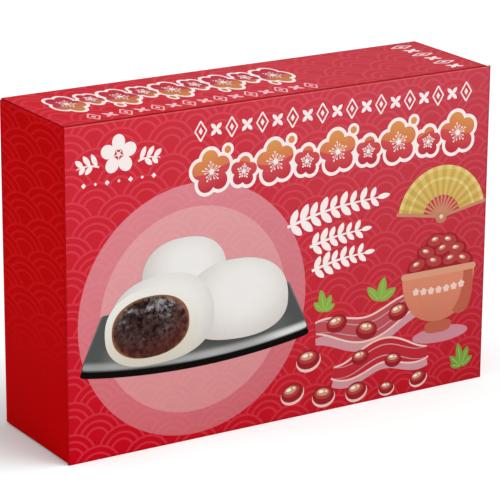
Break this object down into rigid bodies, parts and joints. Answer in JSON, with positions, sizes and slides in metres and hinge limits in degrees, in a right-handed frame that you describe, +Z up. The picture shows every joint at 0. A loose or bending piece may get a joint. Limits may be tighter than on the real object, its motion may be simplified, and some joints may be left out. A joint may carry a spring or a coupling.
{
  "type": "sweets carton",
  "caption": "Shut upright tuck-end carton of printed board for filled rice cakes, with a hinged lid tucked in behind its front panel.",
  "frame": {"origin": "middle of the base, on the surface that the carton stands on", "axes": "+Z up, +X along the carton's width, and the front panel faces -Y"},
  "size_m": [0.175, 0.048, 0.12],
  "materials": {
    "printed_board": "satin"
  },
  "bodies": {
    "root": {"carton": "printed_board"}
  },
  "joints": []
}
